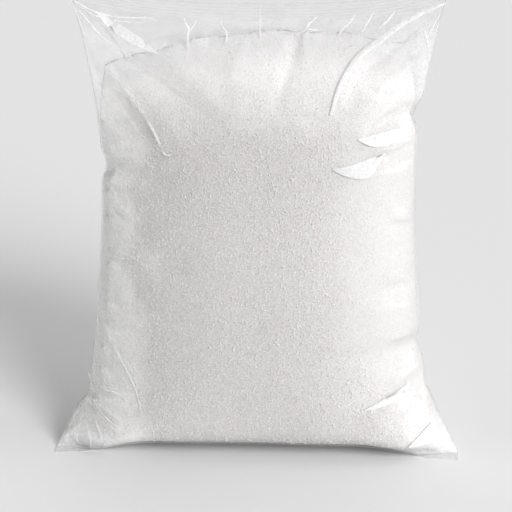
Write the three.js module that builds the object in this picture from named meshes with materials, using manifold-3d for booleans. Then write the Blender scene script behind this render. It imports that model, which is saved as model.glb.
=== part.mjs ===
// A clear pillow bag of salt, standing on its foot. Millimetres, +Z up, the wide face along -Y.
// The film is welded across the top, across the foot and down the back. The salt rounds out the
// middle, so the sides are drawn in and the four corners stay thin and flat.
// The origin is the middle of the bag on the floor. The film and the salt are one solid.
import * as THREE from "three";
import { mergeVertices } from "three/addons/utils/BufferGeometryUtils.js";
import Module from "manifold-3d";

// Driving dimensions
const bag = {
  height: 197, // floor to the tips of the top corners
  footWidth: 170, // tip to tip of the two ears at the foot
  waistWidth: 130, // where the salt draws the sides in
  topWidth: 154, // corner to corner along the top weld
  hipWidth: 150, // where the sides would reach the floor if the bag had no ears
  topSag: 8.5, // the middle of the top weld hangs this much below its corners
  hipFlare: 110, // the sides widen below this height
  earFlare: 28, // and run out to the ears below this one
  topFlare: 128, // and to the top corners above this one
};
const belly = {
  front: 28, // from the middle plane to the fullest point of the front
  back: 34,
  footFront: 0.5, // the same at floor level, where the bag rests
  footBack: 28,
  footLean: 3.6, // from the floor the front leans out this much for each millimetre up
  footTurn: 6, // and turns up into the belly, the larger the tighter
  earFoot: 6, // beside each ear the front starts this much further out
  rounding: 26, // height of the curve from the floor up to the back
  fullHeight: 66, // the bag is fullest up to here and thins above
  thinning: 1.8, // the larger, the later it thins
};
const ear = {
  sweep: 13.5, // the tips of the ears lie this far in front of the middle plane
  height: 40, // and the side edges bend forwards over this height
  toe: 5, // salt pushes the front out beside each ear
  toeHeight: 30,
  toePlace: 0.78, // share of the half width at which it is pushed out most
  toeReach: 0.17,
};
const weld = {
  height: 7, // of the weld along the top, and of the weld along the foot
  thickness: 0.8,
  backWidth: 11, // the weld down the back, folded flat to one side
  backStart: 14, // its lower end, above the floor
  footInset: 20, // the weld of the foot shows in front of each ear, this far in from the tip
};

// Notches in the two side edges: height, depth and reach up and down the edge
const notches = [
  { side: -1, z: 121, depth: 2.2, reach: 5 },
  { side: -1, z: 22, depth: 2.0, reach: 4 },
  { side: 1, z: 144, depth: 2.6, reach: 5 },
  { side: 1, z: 46, depth: 2.0, reach: 5 },
];

// Broad folds, each along a line between two points [x, z] of the bag's face
const frontFolds = [
  { from: [-76, 188], to: [-40, 130], lift: 2.4, reach: 5 },
  { from: [-66, 170], to: [-52, 128], lift: -1.6, reach: 6 },
  { from: [-46, 146], to: [-24, 128], lift: -2.0, reach: 6 },
  { from: [74, 188], to: [32, 140], lift: 2.2, reach: 5 },
  { from: [62, 150], to: [40, 132], lift: -1.8, reach: 5 },
  { from: [62, 142], to: [36, 124], lift: 1.8, reach: 5 },
  { from: [-64, 86], to: [-26, 72], lift: -1.6, reach: 6 },
  { from: [-66, 44], to: [-56, 12], lift: -2.2, reach: 4 },
  { from: [66, 44], to: [46, 22], lift: -1.8, reach: 5 },
  { from: [62, 60], to: [42, 50], lift: 1.2, reach: 5 },
];
const backFolds = [
  { from: [-74, 186], to: [-34, 132], lift: 2.0, reach: 6 },
  { from: [74, 186], to: [38, 130], lift: 2.0, reach: 6 },
  { from: [58, 152], to: [30, 120], lift: -1.8, reach: 6 },
  { from: [-64, 72], to: [-34, 48], lift: -1.8, reach: 6 },
  { from: [64, 96], to: [34, 86], lift: -1.6, reach: 6 },
  { from: [66, 40], to: [52, 14], lift: -2.0, reach: 5 },
];

// Steps of the film across the bag and up it
const acrossSteps = 40;
const upSteps = 48;

const { clamp, lerp } = THREE.MathUtils;
const smooth = (x) => THREE.MathUtils.smoothstep(x, 0, 1);
const weldStart = bag.height - weld.height;

// Half the width of the bag at a height, out to the edge on one side
function halfWidth(z, side) {
  const hips = (bag.hipWidth - bag.waistWidth) * Math.pow(clamp(1 - z / bag.hipFlare, 0, 1), 1.6);
  const ears = (bag.footWidth - bag.hipWidth) * clamp(1 - z / bag.earFlare, 0, 1);
  const topShare = clamp((z - bag.topFlare) / (bag.height - bag.topFlare), 0, 1);
  const corners = (bag.topWidth - bag.waistWidth) * Math.pow(topShare, 1.55);
  const notch = notches
    .filter((one) => one.side === side)
    .reduce((sum, one) => sum + one.depth * Math.exp(-(((z - one.z) / one.reach) ** 2)), 0);
  return (bag.waistWidth + hips + ears + corners) / 2 - notch;
}

// Depth of the front: it leans out from the floor, then turns up into the belly
function frontDepth(z, share) {
  const atEar = belly.earFoot * smooth((Math.abs(share) - 0.5) / 0.35);
  const lean = belly.footFront + atEar + belly.footLean * z;
  const power = belly.footTurn;
  return Math.pow(Math.pow(lean, -power) + Math.pow(belly.front, -power), -1 / power);
}

function backDepth(z) {
  const rounding = Math.sqrt(1 - Math.pow(1 - clamp(z / belly.rounding, 0, 1), 2));
  return lerp(belly.footBack, belly.back, rounding);
}

// The share of its depth the bag still has at a height, as it thins towards the top
function fullness(z) {
  const height = clamp((z - belly.fullHeight) / (weldStart - belly.fullHeight), 0, 1);
  return 1 - Math.pow(height, belly.thinning);
}

// The cross-section: full in the middle, and running out to a thin edge at the corners
function roundness(z, share) {
  const foot = Math.pow(clamp(1 - z / 60, 0, 1), 2);
  const high = smooth((z - 125) / 50);
  const inside = 1 - Math.pow(Math.abs(share), lerp(lerp(2.6, 2, high), 3.6, foot));
  return Math.pow(inside, lerp(lerp(0.6, 1.4, high), 1, foot));
}

// How far the middle plane lies in front of the origin, because the ears point forwards
function sweep(z, share) {
  return ear.sweep * Math.pow(clamp(1 - z / ear.height, 0, 1), 1.5) * share * share;
}

function toe(z, share) {
  const place = Math.exp(-(((Math.abs(share) - ear.toePlace) / ear.toeReach) ** 2));
  return ear.toe * Math.pow(clamp(1 - z / ear.toeHeight, 0, 1), 2) * place * (1 - Math.pow(share, 8));
}

// How far the folds lift a point of the film: most in the middle of each line, nothing far from it
function foldLift(folds, x, z) {
  return folds.reduce((sum, fold) => {
    const line = new THREE.Vector2(fold.to[0] - fold.from[0], fold.to[1] - fold.from[1]);
    const place = new THREE.Vector2(x - fold.from[0], z - fold.from[1]);
    const along = clamp(place.dot(line) / line.lengthSq(), 0, 1);
    const gap = place.distanceTo(line.multiplyScalar(along));
    return sum + fold.lift * Math.sin(Math.PI * lerp(0.2, 1, along)) * Math.exp(-((gap / fold.reach) ** 2));
  }, 0);
}

// Thickness of the bag from its middle plane out to the film
function filmHeight(z, share, depth, folds) {
  const salt = depth * fullness(z) * roundness(z, share);
  const lift = foldLift(folds, share * halfWidth(z, Math.sign(share)), z) * smooth(salt / 12);
  const edge = 1.2 * Math.sqrt(1 - share * share);
  const flat = Math.abs(share) < 1 ? weld.thickness / 2 : 0;
  return lerp(Math.hypot(salt + lift, edge), flat, smooth((z - weldStart + 5) / 5));
}

// A point of the film, at a share (0 to 1) of the height and a share (-1 to 1) of the width
function filmPoint(up, share, isFront) {
  const z = up * bag.height;
  const front = -filmHeight(z, share, frontDepth(z, share), frontFolds) - toe(z, share);
  const back = filmHeight(z, share, backDepth(z), backFolds);
  const sag = bag.topSag * (1 - Math.pow(Math.abs(share), 2.5)) * smooth((z - 120) / (bag.height - 120));
  const x = share * halfWidth(z, Math.sign(share));
  return new THREE.Vector3(x, (isFront ? front : back) - sweep(z, share), z - sag);
}

// The shares at which the film has its points, closer together at the side edges and at the foot
const shares = Array.from({ length: acrossSteps + 1 }, (_, i) => Math.sin((i / acrossSteps - 0.5) * Math.PI));
const ups = Array.from({ length: upSteps + 1 }, (_, j) => Math.pow(j / upSteps, 1.2));

// Adds the two triangles of a four-cornered face, leaving out one that has no area
function addFace(positions, a, b, c, d) {
  for (const corners of [[a, b, c], [a, c, d]]) {
    const [p, q, r] = corners;
    const area = q.clone().sub(p).cross(r.clone().sub(p)).length();
    if (area > 1e-6) {
      corners.forEach((v) => positions.push(v.x, v.y, v.z));
    }
  }
}

// The closed pillow: a front and a back sheet that share their side edges, capped at foot and top
function pillowPositions() {
  const positions = [];
  const sheet = (isFront) => ups.map((up) => shares.map((share) => filmPoint(up, share, isFront)));
  const front = sheet(true);
  const back = sheet(false);
  for (let i = 0; i < acrossSteps; i++) {
    for (let j = 0; j < upSteps; j++) {
      addFace(positions, front[j][i], front[j][i + 1], front[j + 1][i + 1], front[j + 1][i]);
      addFace(positions, back[j][i + 1], back[j][i], back[j + 1][i], back[j + 1][i + 1]);
    }
    addFace(positions, back[0][i], back[0][i + 1], front[0][i + 1], front[0][i]);
    addFace(positions, front.at(-1)[i], front.at(-1)[i + 1], back.at(-1)[i + 1], back.at(-1)[i]);
  }
  return positions;
}

// The weld down the back: a flat strip on the film, from the foot to the top weld
function backWeldPositions() {
  const positions = [];
  const sections = ups
    .filter((up) => up * bag.height > weld.backStart)
    .map((up) => {
      const shareOf = (x) => x / halfWidth(up * bag.height, 1);
      const [left, right] = [0, weld.backWidth].map((x) => filmPoint(up, shareOf(x), false));
      const inner = [left, right].map((point) => point.clone().setY(0));
      const outer = [right, left].map((point) => point.clone().setY(point.y + weld.thickness));
      return [...inner, ...outer];
    });
  for (let k = 0; k + 1 < sections.length; k++) {
    for (let e = 0; e < 4; e++) {
      const next = (e + 1) % 4;
      addFace(positions, sections[k][e], sections[k][next], sections[k + 1][next], sections[k + 1][e]);
    }
  }
  addFace(positions, ...sections[0].toReversed());
  addFace(positions, ...sections.at(-1));
  return positions;
}

// The weld of the foot where it shows: a thin wedge on the floor in front of one ear
function footWeldGeometry(side) {
  const tip = bag.footWidth / 2;
  const outline = new THREE.Shape();
  outline.moveTo(side * tip, -ear.sweep + 2);
  outline.lineTo(side * tip, -ear.sweep - weld.height);
  outline.lineTo(side * (tip - 0.6 * weld.footInset), -ear.sweep - 0.85 * weld.height);
  outline.lineTo(side * (tip - weld.footInset), -ear.sweep - 0.4 * weld.height);
  outline.lineTo(side * (tip - weld.footInset), -ear.sweep + 3);
  return new THREE.ExtrudeGeometry(outline, { depth: weld.thickness, bevelEnabled: false });
}

function geometryOf(positions) {
  return new THREE.BufferGeometry().setAttribute(
    "position",
    new THREE.Float32BufferAttribute(positions, 3),
  );
}

// The pillow and its welds are one piece of film
const wasm = await Module();
wasm.setup();

function solidOf(geometry) {
  geometry.deleteAttribute("normal");
  geometry.deleteAttribute("uv");
  const merged = mergeVertices(geometry, 1e-3);
  const vertProperties = merged.attributes.position.array;
  const triVerts = new Uint32Array(merged.index.array);
  return new wasm.Manifold(new wasm.Mesh({ numProp: 3, vertProperties, triVerts }));
}

const solid = solidOf(geometryOf(pillowPositions()))
  .add(solidOf(geometryOf(backWeldPositions())))
  .add(solidOf(footWeldGeometry(-1)))
  .add(solidOf(footWeldGeometry(1)));
const joined = solid.getMesh();

const bagGeometry = new THREE.BufferGeometry();
bagGeometry.setAttribute("position", new THREE.BufferAttribute(joined.vertProperties, 3));
bagGeometry.setIndex(new THREE.BufferAttribute(joined.triVerts, 1));
bagGeometry.computeBoundingBox();
const middle = bagGeometry.boundingBox.getCenter(new THREE.Vector3());
bagGeometry.translate(-middle.x, -middle.y, 0);
bagGeometry.computeVertexNormals();

const saltInFilm = new THREE.MeshStandardMaterial({ color: 0xe9e7e6, roughness: 0.35, metalness: 0 });
const saltBag = new THREE.Mesh(bagGeometry, saltInFilm);
saltBag.name = "salt_bag";

const part = new THREE.Group();
part.name = "bag_of_salt";
part.add(saltBag);

export default part;
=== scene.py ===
import math

import bpy
import numpy as np
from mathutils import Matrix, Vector


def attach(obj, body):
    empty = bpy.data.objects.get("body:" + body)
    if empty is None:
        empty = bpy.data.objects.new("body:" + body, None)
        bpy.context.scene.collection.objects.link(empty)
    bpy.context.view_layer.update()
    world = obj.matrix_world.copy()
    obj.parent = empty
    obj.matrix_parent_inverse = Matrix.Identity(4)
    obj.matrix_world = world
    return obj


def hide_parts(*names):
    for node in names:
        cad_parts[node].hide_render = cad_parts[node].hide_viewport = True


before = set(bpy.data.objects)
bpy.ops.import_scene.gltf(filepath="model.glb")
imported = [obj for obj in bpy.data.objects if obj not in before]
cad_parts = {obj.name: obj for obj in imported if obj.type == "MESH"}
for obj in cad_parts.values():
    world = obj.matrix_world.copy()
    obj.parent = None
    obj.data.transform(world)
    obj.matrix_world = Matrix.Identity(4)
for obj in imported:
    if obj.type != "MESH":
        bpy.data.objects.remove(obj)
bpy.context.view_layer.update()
scene = bpy.context.scene
mm = 0.001  # sizes below are in millimetres, meshes in metres
offFloor = 0.05  # gap under the film and the welds of the foot


# Outline and bellies of the bag, the same as the solid it stands for. A share runs from -1 at the
# left edge to 1 at the right one.
bag = {
    "height": 197.0,
    "footWidth": 170.0,
    "hipWidth": 150.0,
    "waistWidth": 130.0,
    "topWidth": 154.0,
    "topSag": 8.5,
    "hipFlare": 110.0,
    "earFlare": 28.0,
    "topFlare": 128.0,
    "hipPower": 1.6,
    "topPower": 1.55,
    "sagStart": 120.0,
    "sagPower": 2.5,
    "bellyFront": 28.0,
    "bellyBack": 34.0,
    "footFront": 0.5,
    "footBack": 28.0,
    "footLean": 3.6,
    "earFoot": 6.0,
    "earPlace": 0.5,
    "earReach": 0.35,
    "footTurn": 6.0,
    "rounding": 26.0,
    "fullHeight": 66.0,
    "thinning": 1.8,
    # how square and how full the section is: middle, top, foot
    "square": (2.6, 2.0, 3.6),
    "full": (0.6, 1.4, 1.0),
    "footBlend": 60.0,
    "topBlend": (125.0, 50.0),  # from this height, over this much
    "earSweep": 13.5,
    "earHeight": 40.0,
    "toe": 5.0,
    "toeHeight": 30.0,
    "toePlace": 0.78,
    "toeReach": 0.17,
    "weldHeight": 7.0,
    "weldTaper": 14.0,
    "film": 0.12,  # half the thickness where the two sheets meet
    "middle": -3.4,  # y of the plane between the two faces
    # dents in the side edges: side, height, depth, reach
    "notches": [(-1, 121, 2.2, 5), (-1, 22, 2.0, 4), (1, 144, 2.6, 5), (1, 46, 2.0, 5)],
}


def smooth(x):
    t = np.clip(x, 0.0, 1.0)
    return t * t * (3 - 2 * t)


def mix(a, b, t):
    return a + (b - a) * t


def halfWidth(z, side):
    hipShare = np.clip(1 - z / bag["hipFlare"], 0, 1)
    hips = (bag["hipWidth"] - bag["waistWidth"]) * hipShare ** bag["hipPower"]
    ears = (bag["footWidth"] - bag["hipWidth"]) * np.clip(1 - z / bag["earFlare"], 0, 1)
    topShare = np.clip((z - bag["topFlare"]) / (bag["height"] - bag["topFlare"]), 0, 1)
    corners = (bag["topWidth"] - bag["waistWidth"]) * topShare ** bag["topPower"]
    width = (bag["waistWidth"] + hips + ears + corners) / 2
    for notchSide, place, depth, reach in bag["notches"]:
        width = width - (side == notchSide) * depth * np.exp(-(((z - place) / reach) ** 2))
    return width


# The front leans out from the floor and turns up into the belly, the back is rounded
def halfDepth(z, share, isFront):
    atEar = bag["earFoot"] * smooth((np.abs(share) - bag["earPlace"]) / bag["earReach"])
    lean = bag["footFront"] + atEar + bag["footLean"] * np.maximum(z, 0)
    power = bag["footTurn"]
    front = (lean ** -power + bag["bellyFront"] ** -power) ** (-1 / power)
    rounding = np.sqrt(1 - (1 - np.clip(z / bag["rounding"], 0, 1)) ** 2)
    back = mix(bag["footBack"], bag["bellyBack"], rounding)
    top = bag["height"] - bag["weldHeight"]
    rise = np.clip((z - bag["fullHeight"]) / (top - bag["fullHeight"]), 0, 1)
    return (front if isFront else back) * (1 - rise ** bag["thinning"])


# Share of the full depth at a place across the bag
def sectionCurve(z, share):
    foot = np.clip(1 - z / bag["footBlend"], 0, 1) ** 2
    start, reach = bag["topBlend"]
    high = smooth((z - start) / reach)
    square, full = (
        mix(mix(middle, top, high), low, foot)
        for middle, top, low in (bag["square"], bag["full"])
    )
    return np.clip(1 - np.abs(share) ** square, 0, 1) ** full


# The ears of the foot sweep forwards
def middleDepth(z, share):
    sweep = bag["earSweep"] * np.clip(1 - z / bag["earHeight"], 0, 1) ** 1.5 * share ** 2
    return bag["middle"] - sweep


# The salt pushes the film out low down at both sides of the front
def toePush(z, share):
    place = np.exp(-(((np.abs(share) - bag["toePlace"]) / bag["toeReach"]) ** 2))
    fade = np.clip(1 - z / bag["toeHeight"], 0, 1) ** 2
    return bag["toe"] * fade * place * (1 - share ** 8)


# How far the smooth film lies from the plane between the faces
def filmThick(z, share, isFront):
    salt = halfDepth(z, share, isFront) * sectionCurve(z, share)
    edge = np.sqrt(np.clip(1 - share ** 2, 0, 1))
    weld = bag["height"] - bag["weldHeight"]
    closing = np.clip((z - weld + bag["weldTaper"]) / bag["weldTaper"], 0, 1) ** 1.5
    return mix(np.hypot(salt, edge), bag["film"], closing) + toePush(z, share) * isFront


# How far the top weld and the film under it hang down
def topSag(z, share):
    rise = smooth((z - bag["sagStart"]) / (bag["height"] - bag["sagStart"]))
    return bag["topSag"] * (1 - np.abs(share) ** bag["sagPower"]) * rise


# Folds of the film: lines of points [x, z, how far out of the face]
folds = {
    "front": [
        # fan of folds from the left top corner
        [
            (-75, 190, 0.2), (-69, 172, 1.0), (-65, 167, 1.4), (-60, 161, 1.7), (-52, 153, 2.0),
            (-47, 147, 2.1), (-43, 142, 2.0), (-40, 136, 1.6), (-36, 130, 0.3),
        ],
        [
            (-71, 170, 0.0), (-66, 159, -0.2), (-58, 150, -0.4), (-52, 142, -0.5), (-46, 135, -0.5),
            (-40, 128, -0.2),
        ],
        [
            (-60, 170, -0.3), (-52, 166, -0.9), (-41, 159, -1.3), (-30, 152, -1.2),
            (-21, 147, -0.9), (-12, 139, -0.2),
        ],
        [(-50, 177, 0.5), (-36, 167, 1.2), (-24, 158, 1.3), (-12, 150, 0.7)],
        [(-58, 162, 0.2), (-50, 154, 0.9), (-40, 146, 1.2), (-31, 138, 1.0), (-24, 131, 0.1)],
        [(17, 178, -0.3), (15, 168, -1.1), (11, 157, -0.9), (7, 146, -0.2)],
        [(-4, 175, 0.2), (-9, 164, 0.6), (-8, 152, 0.8), (-6, 142, 0.1)],
        [(-72, 187, 0.4), (-65, 181, 0.9), (-60, 177, 1.0), (-53, 171, 0.8), (-48, 167, 0.0)],
        [(-60, 187, 0.1), (-54, 183, 0.7), (-48, 179, 0.8), (-41, 173, 0.2)],
        # long fold from the right top corner and the facets under it
        [
            (75, 189, 0.2), (64, 184, 0.3), (57, 180, 0.3), (51, 175, 0.25), (45, 171, 0.25),
            (40, 167, 0.25), (36, 162, 0.25), (32, 155, 0.2), (31, 150, 0.2), (28, 142, 0.1),
        ],
        [
            (72, 182, -0.2), (62, 176, -0.6), (54, 170, -0.8), (46, 164, -0.8), (41, 159, -0.6),
            (37, 152, -0.3),
        ],
        [(66, 168, 0.3), (58, 162, 0.9), (50, 155, 1.1), (43, 148, 0.7)],
        [(62, 157, 0.35), (55, 152, 0.8), (51, 146, 1.0), (45, 142, 0.95), (41, 137, 0.5)],
        [(66, 146, -0.5), (58, 146, -0.7), (51, 142, -0.65), (44, 138, -0.2)],
        [(41, 136, 0.15), (44, 134, 0.55), (52, 132, 0.8), (58, 132, 0.75), (64, 134, 0.4)],
        [(37, 127, -0.08), (43, 129, -0.48), (52, 129, -0.65), (60, 128, -0.33)],
        [(29, 124, 0.1), (37, 122, 0.5), (47, 121, 0.7), (55, 121, 0.5), (62, 122, 0.2)],
        # right side, down to its ear
        [(46, 71, -0.16), (53, 74, -0.5), (60, 74, -0.5), (66, 75, -0.2)],
        [(44, 67, 0.08), (53, 65.5, 0.88), (62, 64, 0.96), (68, 65, 0.4)],
        [(66, 48, -0.25), (60, 42, -0.81), (57, 37, -0.65), (54, 32, -0.08)],
        [(56, 32, 0.16), (63, 35, 0.96), (70, 38, 0.56)],
        [(44, 22, -0.06), (50, 24.5, -0.25), (57, 28, -0.4), (66, 32, -0.3)],
        [(44, 20, 0.08), (50, 20.5, 0.81), (57, 21, 1.05), (64, 23, 0.65)],
        [(56, 10, 0.08), (63, 14, 0.65), (70, 18, 0.4)],
        [(62, 2, 0.25), (68, 8, 0.73), (75, 13, 0.33)],
        [(72, 1, 0.08), (76, 6, 0.65), (79, 9, 0.16)],
        # left side, down to its ear
        [(-66, 121, -0.77), (-60, 121, -0.59), (-50, 122, -0.09)],
        [(-64, 123, -0.17), (-56, 125, 0.59), (-46, 132, 0.26)],
        [(-57, 121, 0.3), (-60, 114, 1.2), (-60, 102, 1.5), (-60.5, 90, 1.2)],
        [(-60.5, 82, 1.2), (-61, 72, 1.4), (-62, 60, 1.0)],
        [(-63, 50, 1.0), (-64, 40, 1.3), (-65, 30, 0.8)],
        [(-49, 118, -0.3), (-50, 104, -0.8), (-50, 92, -0.3)],
        [(-50, 80, -0.3), (-51, 70, -0.7), (-52, 60, -0.2)],
        [(-66, 85, 0.17), (-58, 86, 0.68), (-48, 85, 0.77), (-41, 80, 0.17)],
        [(-42, 88, -0.09), (-36, 86.5, -0.94), (-30, 84.5, -0.94), (-22, 82, -0.09)],
        [(-65, 54, -0.26), (-55, 55, -0.85), (-50, 53, -0.77), (-44, 50, -0.68), (-36, 42, -0.09)],
        [(-49, 61, -0.09), (-45, 56, -0.51), (-41, 50, -0.09)],
        [(-42, 63, -0.09), (-36, 62, -0.59), (-31, 58, -0.09)],
        [(-67, 53, 0.26), (-61, 47, 0.94), (-57, 40, 0.77), (-51, 33, 0.09)],
        [(-67, 27, 0.17), (-60, 27, 0.68), (-54, 23, 0.09)],
        [(-74, 23, -0.85), (-71, 20, -2.04), (-68, 17, -2.04), (-61, 14, -1.36), (-55, 11, -0.17)],
        [(-78, 12, 0.17), (-77, 6, 0.68), (-74, 1, 0.17)],
        [(-73, 15, 0.17), (-70, 10, 0.77), (-69, 4, 0.51), (-71, 1, 0.09)],
    ],
    "back": [
        [(-75, 190, 0.2), (-66, 172, 1.2), (-54, 158, 1.8), (-36, 134, 0.2)],
        [(-66, 160, -0.2), (-56, 150, -0.9), (-44, 138, -0.2)],
        [(75, 190, 0.2), (64, 168, 1.4), (50, 148, 1.8), (38, 128, 0.2)],
        [(66, 158, -0.2), (52, 138, -1.0), (34, 118, -0.1)],
        [(-66, 76, -0.3), (-50, 64, -1.2), (-32, 50, -0.1)],
        [(-66, 70, 0.3), (-52, 56, 1.1), (-38, 44, 0.1)],
        [(66, 98, 0.3), (52, 91, 1.3), (32, 88, 0.1)],
        [(66, 92, -0.2), (52, 86, -0.9), (40, 84, -0.1)],
        [(72, 36, -0.3), (60, 22, -1.2), (48, 12, -0.1)],
        [(-70, 30, -0.3), (-60, 20, -1.1), (-50, 12, -0.1)],
    ],
    "reach": 6.5,  # over which a fold flattens out
    "crispness": 0.45,
    "grip": 12.0,  # of a fold line on the film under it
    "fadeTop": 2.0,  # folds end over these at the weld, the side edges (a share) and the foot
    "fadeSide": 0.05,
    "fadeFoot": 5.0,
    # grid of the heights, from left to right and from below to above the bag
    "cell": 0.5,
    "across": (-90, 90),
    "up": (-4, 200),
    "passes": {4: 160, 2: 120, 1: 80},  # cells of this many sizes, smoothed this many times
}
puckers = {
    "seed": 7,
    "alongSide": 22,
    "alongTop": 17,
    "rise": 0.5,
    "sideHeights": (22, 176),
    "sideLength": (7, 20),
    "topWidths": (-66, 66),
    "topLength": (5, 14),
    "topHeight": 189.0,
    "topDrop": 7.8,
    "fan": 0.006,  # turn of the upper puckers towards the corners
}


# Short random folds that run in from the side edges and down from the top weld
def randomPuckers(isFront):
    rng = np.random.default_rng(puckers["seed"] + isFront)
    found = []
    for side in (-1, 1):
        for place in np.linspace(*puckers["sideHeights"], puckers["alongSide"]):
            z = place + rng.uniform(-4, 4)
            edge = float(halfWidth(np.array(z), side)) - 1.0
            length = rng.uniform(*puckers["sideLength"])
            turn = rng.uniform(-0.5, 0.5)
            rise = puckers["rise"] * rng.uniform(0.5, 1.5) * rng.choice([-1, 1])
            far = (side * (edge - length * math.cos(turn)), z + length * math.sin(turn))
            peak = 0.3 * length
            near = (side * (edge - peak * math.cos(turn)), z + peak * math.sin(turn))
            found.append([(side * edge, z, rise * 0.6), (*near, rise), (*far, 0.0)])
    for place in np.linspace(*puckers["topWidths"], puckers["alongTop"]):
        x = place + rng.uniform(-3, 3)
        length = rng.uniform(*puckers["topLength"])
        turn = rng.uniform(-0.4, 0.4) + place * puckers["fan"]
        share = abs(x / (bag["topWidth"] / 2))
        high = puckers["topHeight"] - puckers["topDrop"] * (1 - share ** bag["sagPower"])
        rise = puckers["rise"] * rng.uniform(0.6, 1.5) * rng.choice([-1, 1])
        far = (x - length * math.sin(turn), high - length * math.cos(turn))
        peak = 0.35 * length
        near = (x - peak * math.sin(turn), high - peak * math.cos(turn))
        found.append([(x, high, rise * 0.3), (*near, rise), (*far, 0.0)])
    return found


# Pull of the fold lines on the cells of a grid: weights, and weights times heights
def foldPull(lines, xs, zs, crispness):
    x, z = np.meshgrid(xs, zs)
    weight = np.zeros(x.shape)
    pull = np.zeros(x.shape)
    for line in lines:
        points = np.array(line, float)
        best = np.full(x.shape, 1e9)
        height = np.zeros(x.shape)
        for start, end in zip(points[:-1], points[1:]):
            step = end - start
            along = (x - start[0]) * step[0] + (z - start[1]) * step[1]
            t = np.clip(along / (step[0] ** 2 + step[1] ** 2), 0, 1)
            gap = np.hypot(x - start[0] - t * step[0], z - start[1] - t * step[1])
            nearer = gap < best
            best = np.where(nearer, gap, best)
            height = np.where(nearer, start[2] + t * step[2], height)
        own = folds["grip"] * np.exp(-((best / crispness) ** 2))
        weight += own
        pull += own * height
    return weight, pull


# A grid brought to another number of rows and columns
def resize(field, shape):
    rows = np.linspace(0, field.shape[0] - 1, shape[0])
    columns = np.linspace(0, field.shape[1] - 1, shape[1])
    return sample(field, rows[:, None] + 0 * columns, columns[None, :] + 0 * rows[:, None])


# Value of a grid between its cells
def sample(field, rows, columns):
    r = np.clip(rows, 0, field.shape[0] - 1.001)
    c = np.clip(columns, 0, field.shape[1] - 1.001)
    i, j = r.astype(int), c.astype(int)
    fr, fc = r - i, c - j
    low = mix(field[i, j], field[i, j + 1], fc)
    high = mix(field[i + 1, j], field[i + 1, j + 1], fc)
    return mix(low, high, fr)


def gridLines(way, cell):
    start, end = folds[way]
    return np.arange(start, end + cell / 2, cell)


# The film hangs between its folds like a stretched skin, from coarse to fine
def foldField(isFront):
    lines = folds["front" if isFront else "back"] + randomPuckers(isFront)
    field = np.zeros((2, 2))
    for coarseness, turns in folds["passes"].items():
        cell = folds["cell"] * coarseness
        xs, zs = gridLines("across", cell), gridLines("up", cell)
        weight, pull = foldPull(lines, xs, zs, max(folds["crispness"], cell * 0.8))
        field = resize(field, weight.shape)
        total = 4 + (cell / folds["reach"]) ** 2 + weight
        for _ in range(turns):
            around = np.roll(field, 1, 0) + np.roll(field, -1, 0)
            around += np.roll(field, 1, 1) + np.roll(field, -1, 1)
            field = mix(field, (around + pull) / total, 0.95)
    return blur(field, 0.5)


# A grid smoothed over a size in millimetres
def blur(field, size):
    steps = int(size / folds["cell"] * 2.5) + 1
    offsets = np.arange(-steps, steps + 1)
    kernel = np.exp(-0.5 * (offsets * folds["cell"] / size) ** 2)
    kernel /= kernel.sum()
    for axis in (0, 1):
        field = sum(k * np.roll(field, o, axis) for k, o in zip(kernel, offsets))
    return field


def fieldAt(field, x, z):
    rows, columns = z - folds["up"][0], x - folds["across"][0]
    return sample(field, rows / folds["cell"], columns / folds["cell"])


fieldOf = {isFront: foldField(isFront) for isFront in (True, False)}
# The salt fills the folds less crisply, above all towards its upper edge
saltFolds = {"soft": 0.9, "softest": 3.0, "from": 122, "over": 20}
soften = smooth((gridLines("up", folds["cell"]) - saltFolds["from"]) / saltFolds["over"])[:, None]
saltFieldOf = {}
for isFront, one in fieldOf.items():
    softer = mix(blur(one, saltFolds["soft"]), blur(one, saltFolds["softest"]), soften)
    saltFieldOf[isFront] = np.minimum(softer, one)
print("folds ready")


# Outward normals of a grid of points, for the front or the back sheet
def sheetNormals(points, isFront):
    normal = np.cross(np.gradient(points, axis=1), np.gradient(points, axis=0))
    normal /= np.maximum(np.linalg.norm(normal, axis=2, keepdims=True), 1e-9)
    return normal if isFront else -normal


# Object from points in millimetres
def addMesh(name, points, faces):
    mesh = bpy.data.meshes.new(name)
    mesh.from_pydata((np.asarray(points) * mm).tolist(), [], faces)
    piece = bpy.data.objects.new(name, mesh)
    scene.collection.objects.link(piece)
    return piece


# Closed body of a front and a back sheet, each of rows of points from the foot up
def tubeMesh(name, front, back):
    ring = np.concatenate([front, back[:, -2:0:-1]], axis=1)
    high, around = ring.shape[:2]
    wideFront, wideBack = front.shape[1], back.shape[1]
    index = np.arange(high * around).reshape(high, around)
    after = np.roll(index, -1, axis=1)
    quads = np.stack([index[:-1], after[:-1], after[1:], index[1:]], axis=-1)
    faces = quads.reshape(-1, 4).tolist()
    for first, isTop in ((0, False), ((high - 1) * around, True)):
        faces += capFaces(first, wideFront, wideBack, around, isTop)
    piece = addMesh(name, ring.reshape(-1, 3), faces)
    piece.data.validate()
    piece.data.shade_smooth()
    return piece


# Faces that close the foot or the top of such a body
def capFaces(first, wideFront, wideBack, around, isTop):
    front = [first + k for k in range(wideFront)]
    back = [front[0]] + [first + around - k for k in range(1, wideBack - 1)] + [front[-1]]
    faces = []
    i = j = 0
    while i < wideFront - 1 or j < wideBack - 1:
        stepFront = j >= wideBack - 1 or (i + 1) / (wideFront - 1) <= (j + 1) / (wideBack - 1)
        if stepFront and i < wideFront - 1:
            face = [front[i], back[j], front[i + 1]]
            i += 1
        else:
            face = [front[i], back[j], back[j + 1]]
            j += 1
        if len(set(face)) == 3:
            faces.append(face[::-1] if isTop else face)
    return faces


def newMaterial(name):
    material = bpy.data.materials.new(name)
    material.use_nodes = True
    material.node_tree.nodes.clear()
    return material, material.node_tree


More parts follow.
